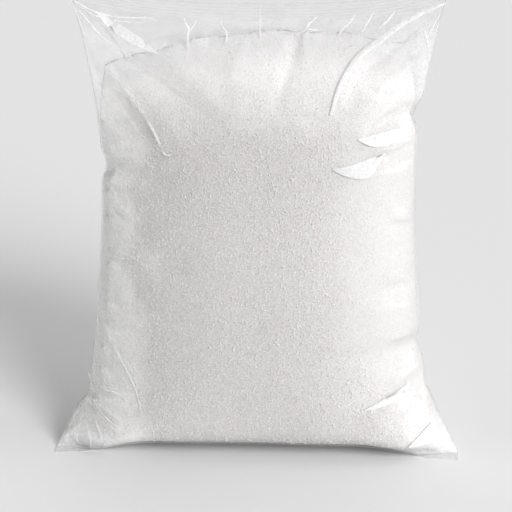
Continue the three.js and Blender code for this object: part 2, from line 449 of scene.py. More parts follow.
# A node with its plain values and links set by input name or number
def addNode(tree, kind, values=(), **settings):
    node = tree.nodes.new(kind)
    for key, value in settings.items():
        setattr(node, key, value)
    for key, value in dict(values).items():
        if isinstance(value, bpy.types.NodeSocket):
            tree.links.new(value, node.inputs[key])
        else:
            node.inputs[key].default_value = value
    return node


def addMath(tree, operation, first, second=0.0, clamp=False):
    values = {0: first, 1: second}
    return addNode(tree, "ShaderNodeMath", values, operation=operation, use_clamp=clamp).outputs[0]


def mathOf(operation):
    return lambda tree, first, second: addMath(tree, operation, first, second)


times, plus, minus, larger = map(mathOf, ("MULTIPLY", "ADD", "SUBTRACT", "MAXIMUM"))


# Colour with a full alpha
def opaque(colour):
    return (*colour, 1)


# Colour between two others
def addBlend(tree, share, first, second):
    values = {"Factor": share, "A": first, "B": second}
    return addNode(tree, "ShaderNodeMix", values, data_type="RGBA").outputs["Result"]


# The shader of a material, linked to its output
def addSurface(tree, values):
    surface = addNode(tree, "ShaderNodeBsdfPrincipled", values)
    output = tree.nodes.new("ShaderNodeOutputMaterial")
    tree.links.new(surface.outputs[0], output.inputs["Surface"])


def plainMaterial(name, colour, gloss, **values):
    material, tree = newMaterial(name)
    addSurface(tree, {"Base Color": opaque(colour), "Roughness": gloss, **values})
    return material


# 0 to 1 between two heights or widths in millimetres
def addRamp(tree, value, start, end):
    return addNode(tree, "ShaderNodeMapRange", {
        "Value": value, "From Min": start * mm, "From Max": end * mm,
    }, interpolation_type="SMOOTHSTEP").outputs[0]


# Upper edge of the salt: its highest point, how it drops to both sides, and where the dust that
# clings to the film there comes in and goes out. The same band puts painted shade on the salt's
# upper edge.
saltEdge = {
    "top": 177.5,
    "place": 15.0,
    "curve": 0.0025,
    "uneven": 18.0,
    "cloudScale": 120.0,
    "below": (-16, -2),
    "above": (10, -3),
}


# Film: its grid, its crimped weld, where it is loose and milky (from, to), and its crinkles
filmLook = {
    "columnsFront": 276,
    "columnsBack": 96,
    "rows": 262,
    "weldRows": 22,
    "crimpPitch": 1.25,
    "crimpDepth": 0.08,
    "looseRight": (22, 52),
    "looseLeft": (-42, -58),
    "lowShift": 28.0,  # of the right border, low down
    "lowEnd": (5, 60),
    "looseHigh": (132, 162),
    "looseEnd": (188, 170),
    "wander": 24.0,
    "cloudScale": 55.0,
    "patches": (0.3, 0.7, 0.75, 1.0),
    "earStart": (68, 79),
    "earHeight": (26, 8),
    "cornerStart": (52, 66),
    "cornerHeight": (144, 158),
    "footStart": (58, 68),
    "footHeight": (6, 2.5),
    "footHaze": 1.6,
    "crinkleSide": (30, 62),
    "crinkleHigh": (150, 178),
    "facet": 7.0,
    "facetDepth": 0.22,
    "gloss": 0.19,
    "shineMost": 0.32,
    "bend": 1.5,  # refractive index
    "innerClear": 0.8,  # share of the haze that the far wall lacks
    "colour": (0.97, 0.97, 0.975),
    "dustColour": (0.83, 0.825, 0.825),
    "dust": 0.9,
    "weldColour": (0.8, 0.8, 0.81),
    "weldHaze": 0.1,
}


# Points of one sheet of the film, with its folds
def filmSheet(isFront):
    columns = filmLook["columnsFront" if isFront else "columnsBack"]
    even = np.linspace(-1, 1, columns + 1)
    shares = mix(even, np.sin(even * math.pi / 2), 0.5)  # closer rows at the side edges
    weld = bag["height"] - bag["weldHeight"]
    low = np.linspace(0, weld, filmLook["rows"] - filmLook["weldRows"], endpoint=False)
    heights = np.concatenate([low, np.linspace(weld, bag["height"], filmLook["weldRows"])])
    share, z = np.meshgrid(shares, heights)
    x = share * halfWidth(z, np.sign(share))
    sag = topSag(z, share)
    free = 1 - smooth((z - weld + folds["fadeTop"]) / folds["fadeTop"])
    free = free * smooth((1 - np.abs(share)) / folds["fadeSide"])
    lift = fieldAt(fieldOf[isFront], x, z - sag) * free * smooth(z / folds["fadeFoot"])
    thick = filmThick(z, share, isFront)
    out = -1 if isFront else 1
    base = np.stack([x, middleDepth(z, share) + out * thick, z - sag], axis=-1)
    base += sheetNormals(base, isFront) * lift[..., None]
    least = middleDepth(z, share) + out * bag["film"] * (np.abs(share) < 1)
    base[..., 1] = np.minimum(base[..., 1], least) if isFront else np.maximum(base[..., 1], least)
    crimp = np.sin((z - weld) * 2 * math.pi / filmLook["crimpPitch"]) * filmLook["crimpDepth"]
    base[..., 1] += crimp * (z > weld)
    base[..., 2] = np.maximum(base[..., 2], offFloor)
    return base


number, vector = "NodeSocketFloat", "NodeSocketVector"


# Node group with named inputs and outputs
def newGroup(name, inputs, results):
    group = bpy.data.node_groups.new(name, "ShaderNodeTree")
    for sockets, way in ((inputs, "INPUT"), (results, "OUTPUT")):
        for label, kind in sockets.items():
            group.interface.new_socket(name=label, in_out=way, socket_type=kind)
    given, result = group.nodes.new("NodeGroupInput"), group.nodes.new("NodeGroupOutput")
    return group, given.outputs, result.inputs


# One effect placed in a material, with the values it has there
def addGroup(tree, group, values):
    return addNode(tree, "ShaderNodeGroup", values, node_tree=group).outputs


# Separate x, y and z of a place
def splitPlace(tree, place):
    return addNode(tree, "ShaderNodeSeparateXYZ", {0: place}).outputs


# Clouds, and the shift in metres that they give to a border
def addClouds(tree, place, scale, detail, reach):
    cloud = addNode(tree, "ShaderNodeTexNoise", {"Vector": place, "Scale": scale, "Detail": detail})
    middle = minus(tree, cloud.outputs[0], 0.5)
    return cloud.outputs[0], times(tree, middle, reach * mm)


# Where the film stands off the salt: at the right and left sides, towards the top and at the ears.
# In the salt the same mask also places painted light, lighter towards the left and the top.
def makeLooseAndPaintedLightGroup():
    labels = ("Clear", "Right", "Left", "High", "Ears")
    inputs = {"Place": vector, **{label: number for label in labels}}
    group, given, result = newGroup("looseFilmAndPaintedLight", inputs, {"Amount": number})

    def ramp(value, name):
        return addRamp(group, value, *filmLook[name])

    cloud, shift = addClouds(group, given["Place"], filmLook["cloudScale"], 4, filmLook["wander"])
    moved = addNode(group, "ShaderNodeVectorMath", {0: given["Place"], 1: shift})
    split = splitPlace(group, moved.outputs[0])
    x, z = split["X"], split["Z"]
    out = addMath(group, "ABSOLUTE", x)
    low = minus(group, 1.0, ramp(z, "lowEnd"))
    right = minus(group, x, times(group, low, filmLook["lowShift"] * mm))
    ear = times(group, ramp(out, "earStart"), ramp(z, "earHeight"))
    corner = times(group, ramp(x, "cornerStart"), ramp(z, "cornerHeight"))
    foot = times(group, ramp(out, "footStart"), ramp(z, "footHeight"))
    foot = times(group, foot, filmLook["footHaze"])
    ear = larger(group, larger(group, ear, corner), foot)
    most = times(group, ear, given["Ears"])
    areas = (("Right", right, "looseRight"), ("Left", x, "looseLeft"), ("High", z, "looseHigh"))
    for label, way, name in areas:
        most = larger(group, most, times(group, ramp(way, name), given[label]))
    most = times(group, most, ramp(z, "looseEnd"))
    sockets = ("From Min", "From Max", "To Min", "To Max")
    patch = addNode(group, "ShaderNodeMapRange", {
        "Value": cloud, **dict(zip(sockets, filmLook["patches"])),
    })
    most = times(group, most, patch.outputs[0])
    group.links.new(plus(group, most, given["Clear"]), result["Amount"])
    return group


# Small flat facets of crinkled film, strongest at the sides and under the top weld
def makeCrinkleGroup():
    inputs = {"Place": vector, "Facet": number, "Depth": number}
    group, given, result = newGroup("crinkledFilm", inputs, {"Normal": vector})
    split = splitPlace(group, given["Place"])
    side = addRamp(group, addMath(group, "ABSOLUTE", split["X"]), *filmLook["crinkleSide"])
    high = addRamp(group, split["Z"], *filmLook["crinkleHigh"])
    where = larger(group, side, high)
    cells = addNode(group, "ShaderNodeTexVoronoi", {
        "Vector": given["Place"], "Scale": addMath(group, "DIVIDE", 1.0, given["Facet"]),
        "Detail": 1.0, "Roughness": 0.5,
    }, distance="MANHATTAN")
    height = times(group, cells.outputs["Distance"], where)
    bump = addNode(group, "ShaderNodeBump", {"Distance": given["Depth"], "Height": height})
    group.links.new(bump.outputs[0], result["Normal"])
    return group


# Band of the top weld, which hangs lower in the middle
def makeWeldGroup():
    group, given, result = newGroup("topWeld", {"Place": vector}, {"Mask": number})
    split = splitPlace(group, given["Place"])
    out = addMath(group, "ABSOLUTE", split["X"])
    across = addMath(group, "DIVIDE", out, bag["topWidth"] / 2 * mm)
    hang = minus(group, 1.0, addMath(group, "POWER", across, bag["sagPower"]))
    level = plus(group, split["Z"], times(group, hang, bag["topSag"] * mm))
    weld = bag["height"] - bag["weldHeight"]
    group.links.new(addRamp(group, level, weld - 0.4, weld + 0.2), result["Mask"])
    return group


# Packed grains, of the salt itself and of the dust it leaves on the film; on the salt the gaps
# between grains take painted shade
def makeGrainGroup():
    inputs, results = {"Place": vector, "Size": number}, {"Gap": number, "Height": number}
    group, given, result = newGroup("saltGrain", inputs, results)
    scale = addMath(group, "DIVIDE", 1.0, given["Size"])
    cells = addNode(group, "ShaderNodeTexVoronoi", {"Vector": given["Place"], "Scale": scale})
    gap = addNode(group, "ShaderNodeMapRange", {
        "Value": cells.outputs["Distance"], "From Min": 0.2, "From Max": 0.8,
    })
    group.links.new(gap.outputs[0], result["Gap"])
    group.links.new(cells.outputs["Distance"], result["Height"])
    return group


# Salt dust that clings to the film, thinning out above and below the salt's upper edge; in the
# salt the same band places painted shade on its upper edge
def makeDustAndEdgeShadeGroup():
    group, given, result = newGroup("clingingDustAndEdgeShade", {"Place": vector}, {"Amount": number})
    split = splitPlace(group, given["Place"])
    across = minus(group, split["X"], saltEdge["place"] * mm)
    square = times(group, across, across)
    drop = times(group, square, saltEdge["curve"] / mm)
    level = minus(group, split["Z"], saltEdge["top"] * mm)
    level = plus(group, level, drop)
    shift = addClouds(group, given["Place"], saltEdge["cloudScale"], 5, saltEdge["uneven"])[1]
    level = plus(group, level, shift)
    below, above = (addRamp(group, level, *saltEdge[way]) for way in ("below", "above"))
    group.links.new(times(group, below, above), result["Amount"])
    return group


looseAndPaintedLightGroup, crinkleGroup = makeLooseAndPaintedLightGroup(), makeCrinkleGroup()
weldGroup, grainGroup, dustAndEdgeShadeGroup = makeWeldGroup(), makeGrainGroup(), makeDustAndEdgeShadeGroup()


# Films: their layers, how much of the top weld shows, and their milkiness in the clear parts, at
# the sides, top and ears, and at the salt's upper edge. The folded film is milkier as it lies
# doubled, and its white also stands as painted highlight on the folds.
films = {
    "clearFilm": {
        "layers": 1, "weld": 1, "Clear": 0.03, "Right": 0.14, "Left": 0.21, "High": 0.2,
        "Ears": 0.4, "edge": 0.26,
    },
    "foldedFilmAndPaintedHighlight": {
        "layers": 2, "weld": 0, "Clear": 0.56, "Right": 0.05, "Left": 0.0, "High": 0.1,
        "Ears": 0.0, "edge": 0.0,
    },
    "weldedFilm": {
        "layers": 0.5, "weld": 0, "Clear": 0.01, "Right": 0.0, "Left": 0.0, "High": 0.0,
        "Ears": 0.3, "edge": 0.0,
    },
}


def makeFilmMaterial(name):
    film = films[name]
    material, tree = newMaterial(name)
    place = addNode(tree, "ShaderNodeTexCoord").outputs["Object"]
    fresnel = addNode(tree, "ShaderNodeFresnel", {"IOR": filmLook["bend"]}).outputs[0]
    double = times(tree, fresnel, 2 * film["layers"])
    shine = addMath(tree, "DIVIDE", double, plus(tree, fresnel, 1))
    shine = addMath(tree, "MINIMUM", shine, filmLook["shineMost"])
    weld = addGroup(tree, weldGroup, {"Place": place})["Mask"]
    weld = times(tree, weld, film["weld"])
    amounts = {label: film[label] for label in ("Clear", "Right", "Left", "High", "Ears")}
    haze = addGroup(tree, looseAndPaintedLightGroup, {"Place": place, **amounts})["Amount"]
    haze = plus(tree, haze, times(tree, weld, filmLook["weldHaze"]))
    cling = addGroup(tree, dustAndEdgeShadeGroup, {"Place": place})["Amount"]
    haze = larger(tree, haze, times(tree, cling, film["edge"]))
    inside = addNode(tree, "ShaderNodeNewGeometry").outputs["Backfacing"]
    lacking = times(tree, inside, filmLook["innerClear"])
    haze = times(tree, haze, minus(tree, 1.0, lacking))
    cover = addMath(tree, "ADD", shine, haze, clamp=True)
    dust = addGroup(tree, grainGroup, {"Place": place, "Size": filmLook["dust"] * mm})["Gap"]
    tone = addBlend(tree, dust, opaque(filmLook["colour"]), opaque(filmLook["dustColour"]))
    facets = addGroup(tree, crinkleGroup, {
        "Place": place, "Facet": filmLook["facet"] * mm, "Depth": filmLook["facetDepth"] * mm,
    })
    addSurface(tree, {
        "Base Color": addBlend(tree, weld, tone, opaque(filmLook["weldColour"])),
        "Metallic": addMath(tree, "DIVIDE", shine, cover),  # the shine, as a mirror's share
        "Roughness": filmLook["gloss"],
        "Specular IOR Level": 0.0,
        "Alpha": cover,
        "Normal": facets["Normal"],
    })
    return material


# Pleats where the film is folded over: lines of points [x, z] with a width. Their white lines are
# partly doubled film and partly painted highlight along the folds.
pleats = {
    "front": [
        ([
            (75, 189.5), (64, 184.5), (57, 180.5), (51, 175.5), (45, 171.5), (40, 167.5),
            (36.5, 162.5), (34, 158), (32, 153), (30, 146),
        ], 2.4),
        ([(-75, 189), (-72, 180), (-69, 172)], 0.45),
        ([(-58, 159), (-52, 153), (-46, 146), (-43, 142)], 0.45),
        ([(-45, 144.5), (-41.5, 139), (-39, 134)], 1.3),
        ([(-74, 189), (-66, 184.5), (-58, 182.5), (-43, 182.5), (-41, 181)], 0.8),
        ([(-73, 187.5), (-66, 183), (-58, 181), (-46, 180.5)], 0.5),
        ([(-72, 185), (-64, 175), (-57, 170), (-50, 166)], 0.7),
        ([(-38, 131.5), (-37, 129.5), (-35, 129.5), (-33.5, 131)], 0.6),
        ([(-30, 182.5), (-29, 180), (-27.6, 178.2), (-28.6, 175.5), (-28, 171)], 0.8),
        ([(-24.8, 182), (-25.4, 180), (-27.4, 177.6)], 0.5),
        ([(-15, 181), (-14.4, 178.6), (-12.4, 177), (-12.8, 173)], 0.7),
        ([(0.8, 175), (0.8, 188.2)], 0.45),
        ([(15, 176), (18.5, 177.6), (20, 180), (24, 183.5)], 0.9),
        ([(20, 178.5), (25, 178)], 0.6),
        ([(32.5, 176.5), (34.6, 179.4), (36, 180), (39, 184.4)], 1.1),
        ([(42, 177.5), (43.6, 180.5), (46.5, 185.5)], 0.9),
        ([(48.5, 179), (52, 182), (55, 186)], 1.1),
        ([(73, 185), (68, 175)], 0.6),
        ([(67, 179), (69, 171)], 0.9),
        ([(-60, 47), (-55, 39), (-50, 30), (-48, 23)], 0.6),
        ([(-65, 26), (-58, 27), (-54, 24)], 0.6),
        ([(-72, 29), (-70, 21), (-64, 16), (-57, 13)], 0.7),
        ([(-78, 11), (-77, 7), (-74, 1.2)], 0.6),
        ([(-73, 14), (-70, 10), (-69, 4), (-70, 1.2)], 0.7),
        ([(-68, 14), (-65, 10), (-64, 7)], 0.6),
    ],
    "back": [
        ([(70, 184), (58, 172), (50, 158)], 1.0),
        ([(-72, 186), (-60, 176), (-52, 160)], 1.0),
    ],
    "rise": 0.12,
    "section": (0.03, 0.75, 1, 0.75, 0.03),  # share of the rise across a pleat
    "step": 0.7,
    "sharpAngle": 60.0,
    "clearance": 0.05,  # of the underside, off the film
}
# Facets where the film is folded flat: lower border, upper border, and how far each stands off.
# Their white is partly doubled film and partly painted highlight, standing for lamps mirrored in
# flat film.
facets = [
    (
        [(41, 135.8), (47, 133), (52, 133), (60, 135), (62, 138.3)],
        [(41, 136.2), (50, 138), (57, 139), (62, 139)],
        0.1, 0.07,
    ),
    (
        [(31, 124.8), (36, 122), (45, 120), (49, 125), (52, 129.6)],
        [(31, 125.2), (38, 126), (44, 128), (52, 130)],
        0.22, 0.16,
    ),
    ([(45, 22.8), (55, 24), (62, 27), (64, 30.4)], [(45, 23.2), (54, 27), (64, 31)], 0.1, 0.07),
    ([(64, 6.8), (71, 7), (76, 7.4), (74.4, 13.6)], [(64, 7.4), (69, 11), (74, 14)], 0.1, 0.07),
    (
        [(-65, 184), (-61, 178.5), (-55, 174.5), (-48, 170.5), (-40, 168.3)],
        [(-65, 185), (-58, 181), (-51, 177), (-46, 173.5), (-40, 168.8)],
        0.22, 0.16,
    ),
]
# Weld down the back, a flat strip between two places in x, and the weld of the foot at each ear,
# a flat piece with its outline in [x, y]
welds = {
    "left": 0.0,
    "right": 11.0,
    "low": 14.0,
    "belowRim": 1.5,
    "thickness": 0.35,
    "rows": 90,
    "foot": [(84.9, -14.9), (84.9, -23.9), (73, -22.8), (65, -19.7), (65, -13.9)],
}


quarters = (0, 0.25, 0.5, 0.75, 1)


# Points along a line of corners, rounded and evenly spaced
def curvePoints(corners, rounding, step, count=0):
    points = np.array(corners, float)
    for _ in range(rounding):
        quarter = mix(points[:-1], points[1:], 0.25)
        threeQuarter = mix(points[:-1], points[1:], 0.75)
        inner = np.stack([quarter, threeQuarter], axis=1).reshape(-1, points.shape[1])
        points = np.concatenate([points[:1], inner, points[-1:]])
    lengths = np.concatenate([[0], np.cumsum(np.linalg.norm(np.diff(points, axis=0), axis=1))])
    count = count or max(int(lengths[-1] / step), 3)
    wanted = np.linspace(0, lengths[-1], count + 1)
    return np.stack([np.interp(wanted, lengths, column) for column in points.T], axis=-1)


# Depth of the creased film at points [x, z] of a face
def filmSurface(x, z, isFront):
    filmZ = z
    for _ in range(4):
        share = np.clip(x / halfWidth(filmZ, np.sign(x)), -1, 1)
        filmZ = z + topSag(filmZ, share)
    thick = filmThick(filmZ, share, isFront) + fieldAt(fieldOf[isFront], x, z)
    return middleDepth(filmZ, share) + (-1 if isFront else 1) * np.maximum(thick, bag["film"])


# A closed strip between two borders, standing off the film by five lifts from one to the other
def addStrip(vertices, faces, first, last, lifts, isFront):
    rows = []
    for share, lift in zip((*quarters, 0.5), [*lifts, 0.0]):  # the last one is its underside
        flat = mix(first, last, share)
        depth = filmSurface(flat[:, 0], flat[:, 1], isFront)
        depth += (lift + pleats["clearance"]) * (-1 if isFront else 1)
        rows.append(np.stack([flat[:, 0], depth, flat[:, 1]], axis=-1))
    start = sum(len(one) for one in vertices)
    vertices.append(np.stack(rows, axis=1).reshape(-1, 3))
    faces += ringFaces(start, len(first), len(rows), isFront)


# Lift along a strip, down to nearly nothing at both its ends
def endTaper(count):
    return np.sin(np.linspace(0.06, 1, count) * math.pi * 0.94) ** 0.5


def makePleats():
    vertices, faces = [], []
    for isFront in (True, False):
        for corners, width in pleats["front" if isFront else "back"]:
            line = curvePoints(corners, 3, pleats["step"])
            along = np.gradient(line, axis=0)
            across = np.stack([-along[:, 1], along[:, 0]], axis=-1)
            taper = endTaper(len(line))
            across *= (taper * width / 2 / np.linalg.norm(across, axis=1))[:, None]
            lifts = [pleats["rise"] * rise * taper for rise in pleats["section"]]
            addStrip(vertices, faces, line - across, line + across, lifts, isFront)
    for lower, upper, lowLift, highLift in facets:
        count = len(curvePoints(lower, 1, pleats["step"]))
        lower, upper = (curvePoints(one, 1, pleats["step"], count) for one in (lower, upper))
        taper = endTaper(len(lower))
        lifts = [mix(lowLift, highLift, share) * taper for share in quarters]
        addStrip(vertices, faces, lower, upper, lifts, True)
    piece = addMesh("pleats", np.concatenate(vertices), faces)
    piece.data.shade_smooth()
    piece.data.set_sharp_from_angle(angle=math.radians(pleats["sharpAngle"]))
    return piece


# The weld down the back and the two wedges of the weld of the foot
def makeWelds():
    high = bag["height"] - bag["topSag"] - welds["belowRim"]
    x = np.array([welds["left"], welds["right"], welds["right"], welds["left"]])
    rings = []
    for z in np.linspace(welds["low"], high, welds["rows"]):
        depth = filmSurface(x, np.full(4, z), False) + pleats["clearance"]
        depth[2:] += welds["thickness"]
        rings.append(np.stack([x, depth, np.full(4, z)], axis=-1))
    vertices, faces = [np.concatenate(rings)], ringFaces(0, len(rings), 4, True)
    for side in (-1, 1):
        first = sum(len(one) for one in vertices)
        outline = np.array([(side * x, y) for x, y in welds["foot"]])
        levels = (offFloor, welds["thickness"])
        rings = [np.column_stack([outline, np.full(len(outline), z)]) for z in levels]
        vertices.append(np.concatenate(rings))
        faces += ringFaces(first, 2, len(outline), side > 0)
    return addMesh("welds", np.concatenate(vertices), faces)


# Faces of a closed tube of rings, each of the same number of points
def ringFaces(first, rings, size, flip):
    faces = []
    for i in range(rings - 1):
        for k in range(size):
            a, b = first + i * size + k, first + i * size + (k + 1) % size
            faces.append([a, b, b + size, a + size])
    faces.append([first + k for k in reversed(range(size))])
    faces.append([first + (rings - 1) * size + k for k in range(size)])
    return [face[::-1] for face in faces] if flip else faces


# Salt: its grid, the gaps it leaves to the film, its form, and its colours where the film lies on
# it, towards the left and the top, and at its upper edge. The colours hold painted shade in the
# gaps between grains, painted light towards the left and the top, and painted shade at the upper
# edge.
saltLook = {
    "columnsFront": 150,
    "columnsBack": 90,
    "rows": 190,
    "sideGap": 0.7,
    "earGap": 0.3,
    "filmGap": 0.65,
    "leastThick": 0.6,
    "thinnest": 0.3,
    "earReach": 24.0,
    "low": 0.6,
    "widthGuess": 66.0,  # of half the salt, to start from
    "waves": ((0.6, 0.21, 0.6), (0.3, 0.53, 2.0)),  # of the upper edge: height, pace, start
    "sideRounding": 12,
    "topRounding": 14,
    "haze": {"Right": 0.3, "Left": 0.3, "High": 0.1},
    # even share of the painted shade in the grain gaps, where the film is milky
    "evenPaintedGapShade": 0.35,
    # painted light: the salt is lighter towards the left and the top
    "paintedLight": {"Left": 1.0, "High": 0.9},
    "colour": (0.705, 0.697, 0.695),
    # painted shade in the gaps between grains
    "paintedGapShade": (0.56, 0.541, 0.535),
    # lit copies of the two colours below, for the painted light towards the left and the top
    "paintedLitColour": (0.95, 0.945, 0.945),
    "paintedLitGapShade": (0.77, 0.755, 0.75),
    # painted shade at the salt's upper edge
    "paintedEdgeShade": (0.7, 0.69, 0.69),
    "grain": 0.68,  # size of one grain
    "relief": 0.4,
    "reliefShare": 0.4,
    "gloss": 0.45,
}


# Height of the salt's upper edge
def saltTop(x):
    return saltEdge["top"] - saltEdge["curve"] * (x - saltEdge["place"]) ** 2


# Half the width of the salt: as far out as the film leaves room
def saltHalfWidth(z, side):
    filmZ = z + topSag(z, side * 0.9)
    shares = np.linspace(0.3, 1, 141)
    grid, rows = np.meshgrid(shares, filmZ[:, 0])
    room = np.minimum(filmThick(rows, grid, True), filmThick(rows, grid, False))
    fits = room > saltLook["filmGap"] + saltLook["leastThick"]
    outermost = len(shares) - 1 - fits[:, ::-1].argmax(axis=1)
    last = shares[np.where(fits.any(axis=1), outermost, 0)]
    width = halfWidth(filmZ, side)
    earCut = saltLook["earGap"] * np.clip(1 - z / saltLook["earReach"], 0, 1) ** 1.2
    return np.minimum(last[:, None] * width, width - saltLook["sideGap"] - earCut)


# Points of one sheet of the salt: its width depends on its height and the other way round
def saltSheet(isFront):
    columns = saltLook["columnsFront" if isFront else "columnsBack"]
    even = np.linspace(-1, 1, columns + 1)
    shares = mix(even, np.sin(even * math.pi / 2), 0.6)
    share, up = np.meshgrid(shares, np.linspace(0, 1, saltLook["rows"]))
    side = np.sign(share)
    x = share * saltLook["widthGuess"]
    for _ in range(3):
        z = saltLook["low"] + up * (saltTop(x) - saltLook["low"])
        x = share * rowWidths(z, side)
    uneven = sum(height * np.sin(x * pace + start) for height, pace, start in saltLook["waves"])
    z = z + uneven * smooth((up - 0.9) / 0.1)
    filmZ = z + topSag(z, share)
    filmShare = x / halfWidth(filmZ, side)
    sideRound = np.sqrt(np.clip(1 - np.abs(share) ** saltLook["sideRounding"], 0, 1))
    topRound = np.sqrt(np.clip(1 - up ** saltLook["topRounding"], 0, 1))
    lift = fieldAt(saltFieldOf[isFront], x, z) * smooth(z / folds["fadeFoot"])
    lower = np.maximum(filmZ - saltLook["filmGap"] * smooth((30 - z) / 10), 0)
    thick = filmThick(lower, filmShare, isFront) + lift - saltLook["filmGap"]
    out = -1 if isFront else 1
    thick = np.maximum(thick, saltLook["thinnest"]) * sideRound * topRound
    return np.stack([x, middleDepth(filmZ, filmShare) + out * thick, z], axis=-1)


# saltHalfWidth looked up by height, for any grid of points
def rowWidths(z, side):
    heights = np.linspace(0, 180, 181)
    left, right = (
        np.interp(z, heights, saltHalfWidth(heights[:, None], one)[:, 0]) for one in (-1, 1)
    )
    return np.where(side < 0, left, right)


def makeSaltMaterial():
    material, tree = newMaterial("coarseSalt")
    place = addNode(tree, "ShaderNodeTexCoord").outputs["Object"]
    cells = addGroup(tree, grainGroup, {"Place": place, "Size": saltLook["grain"] * mm})
    loose = addGroup(tree, looseAndPaintedLightGroup, {"Place": place, **saltLook["haze"]})["Amount"]
    clear = minus(tree, 1.0, loose)
    # painted shade: the gaps between grains are darker, evened out where the film is milky
    paintedGapShade = times(tree, cells["Gap"], clear)
    even = times(tree, loose, saltLook["evenPaintedGapShade"])
    paintedGapShade = plus(tree, paintedGapShade, even)
    # painted light: the salt is lighter towards the left and the top
    paintedLight = addGroup(tree, looseAndPaintedLightGroup, {"Place": place, **saltLook["paintedLight"]})["Amount"]
    grain, between = (
        addBlend(tree, paintedLight, opaque(saltLook[usual]), opaque(saltLook[high]))
        for usual, high in (("colour", "paintedLitColour"), ("paintedGapShade", "paintedLitGapShade"))
    )
    tone = addBlend(tree, paintedGapShade, grain, between)
    # painted shade: the salt turns darker at its upper edge
    edge = addGroup(tree, dustAndEdgeShadeGroup, {"Place": place})["Amount"]
    bump = addNode(tree, "ShaderNodeBump", {
        "Strength": saltLook["reliefShare"], "Distance": saltLook["relief"] * mm,
        "Height": times(tree, cells["Height"], clear),
    }, invert=True)
    addSurface(tree, {
        "Base Color": addBlend(tree, edge, tone, opaque(saltLook["paintedEdgeShade"])),
        "Roughness": saltLook["gloss"],
        "Normal": bump.outputs[0],
    })
    return material


# Loose grains: over the salt, and thinning out above its upper edge
grainLook = {
    "seed": 3,
    "onFront": 16000,
    "onBack": 4500,
    "fringe": 120,
    "fringeWidth": (-66, 68),
    "fringeReach": 3.0,
    "fringeMost": 9.0,
    "inFront": 0.75,
    "filmGap": 0.7,
    "leastRoom": 0.2,
    "size": (0.34, 0.62),
    "fringeSize": (0.25, 0.45),
    "out": (-0.15, 0.25),  # how far a grain stands out of the salt, and near the foot
    "outLow": -0.5,
    "lowReach": 12.0,
    "lowest": 1.2,
    # where the film hides them: share, from, over
    "hiddenRight": (1.2, 26, 22),
    "hiddenHigh": (0.7, 132, 30),
    "colour": (0.8, 0.792, 0.79),
    "gloss": 0.3,
}


# Random points of a sheet of the salt, evenly spread over its area, with the normals there
def sheetPoints(sheet, isFront, count, rng):
    across, up = np.diff(sheet, axis=1)[:-1], np.diff(sheet, axis=0)[:, :-1]
    area = np.linalg.norm(np.cross(across, up), axis=2).ravel()
    chosen = rng.choice(area.size, count, p=area / area.sum())
    i, j = np.divmod(chosen, across.shape[1])
    u, v = rng.random((2, count, 1))
    points = sheet[i, j] + across[i, j] * u + up[i, j] * v
    return points, sheetNormals(sheet, isFront)[i, j]


# Places just inside the film, above the salt's upper edge
def fringePoints(count, rng):
    x = rng.uniform(*grainLook["fringeWidth"], count)
    z = saltTop(x) - 0.6 + rng.exponential(grainLook["fringeReach"], count)
    z = np.minimum(z, saltTop(x) + grainLook["fringeMost"])
    filmZ = z + topSag(z, x / 75)
    share = np.clip(x / halfWidth(filmZ, np.sign(x)), -0.98, 0.98)
    isFront = rng.random(count) < grainLook["inFront"]
    front = filmThick(filmZ, share, True) + np.minimum(fieldAt(fieldOf[True], x, z), 0)
    back = filmThick(filmZ, share, False)
    room = np.where(isFront, front, back) - grainLook["filmGap"]
    y = middleDepth(filmZ, share) + np.where(isFront, -1, 1) * np.maximum(room, 0)
    return np.stack([x, y, z], axis=-1)[room > grainLook["leastRoom"]]


# Rotation matrices from random quaternions
def randomTurns(count, rng):
    quaternion = rng.normal(size=(count, 4))
    w, x, y, z = (quaternion / np.linalg.norm(quaternion, axis=1, keepdims=True)).T
    return np.array([
        [1 - 2 * (y * y + z * z), 2 * (x * y - z * w), 2 * (x * z + y * w)],
        [2 * (x * y + z * w), 1 - 2 * (x * x + z * z), 2 * (y * z - x * w)],
        [2 * (x * z - y * w), 2 * (y * z + x * w), 1 - 2 * (x * x + y * y)],
    ]).transpose(2, 0, 1)


# How much the milky film hides the grains at points [x, z]
def hiddenShare(x, z):
    low, high = filmLook["lowEnd"]
    right = x - filmLook["lowShift"] * (1 - smooth((z - low) / (high - low)))
    return np.maximum(*(
        most * smooth((way - start) / reach)
        for way, (most, start, reach) in (
            (right, grainLook["hiddenRight"]), (z, grainLook["hiddenHigh"]),
        )
    ))


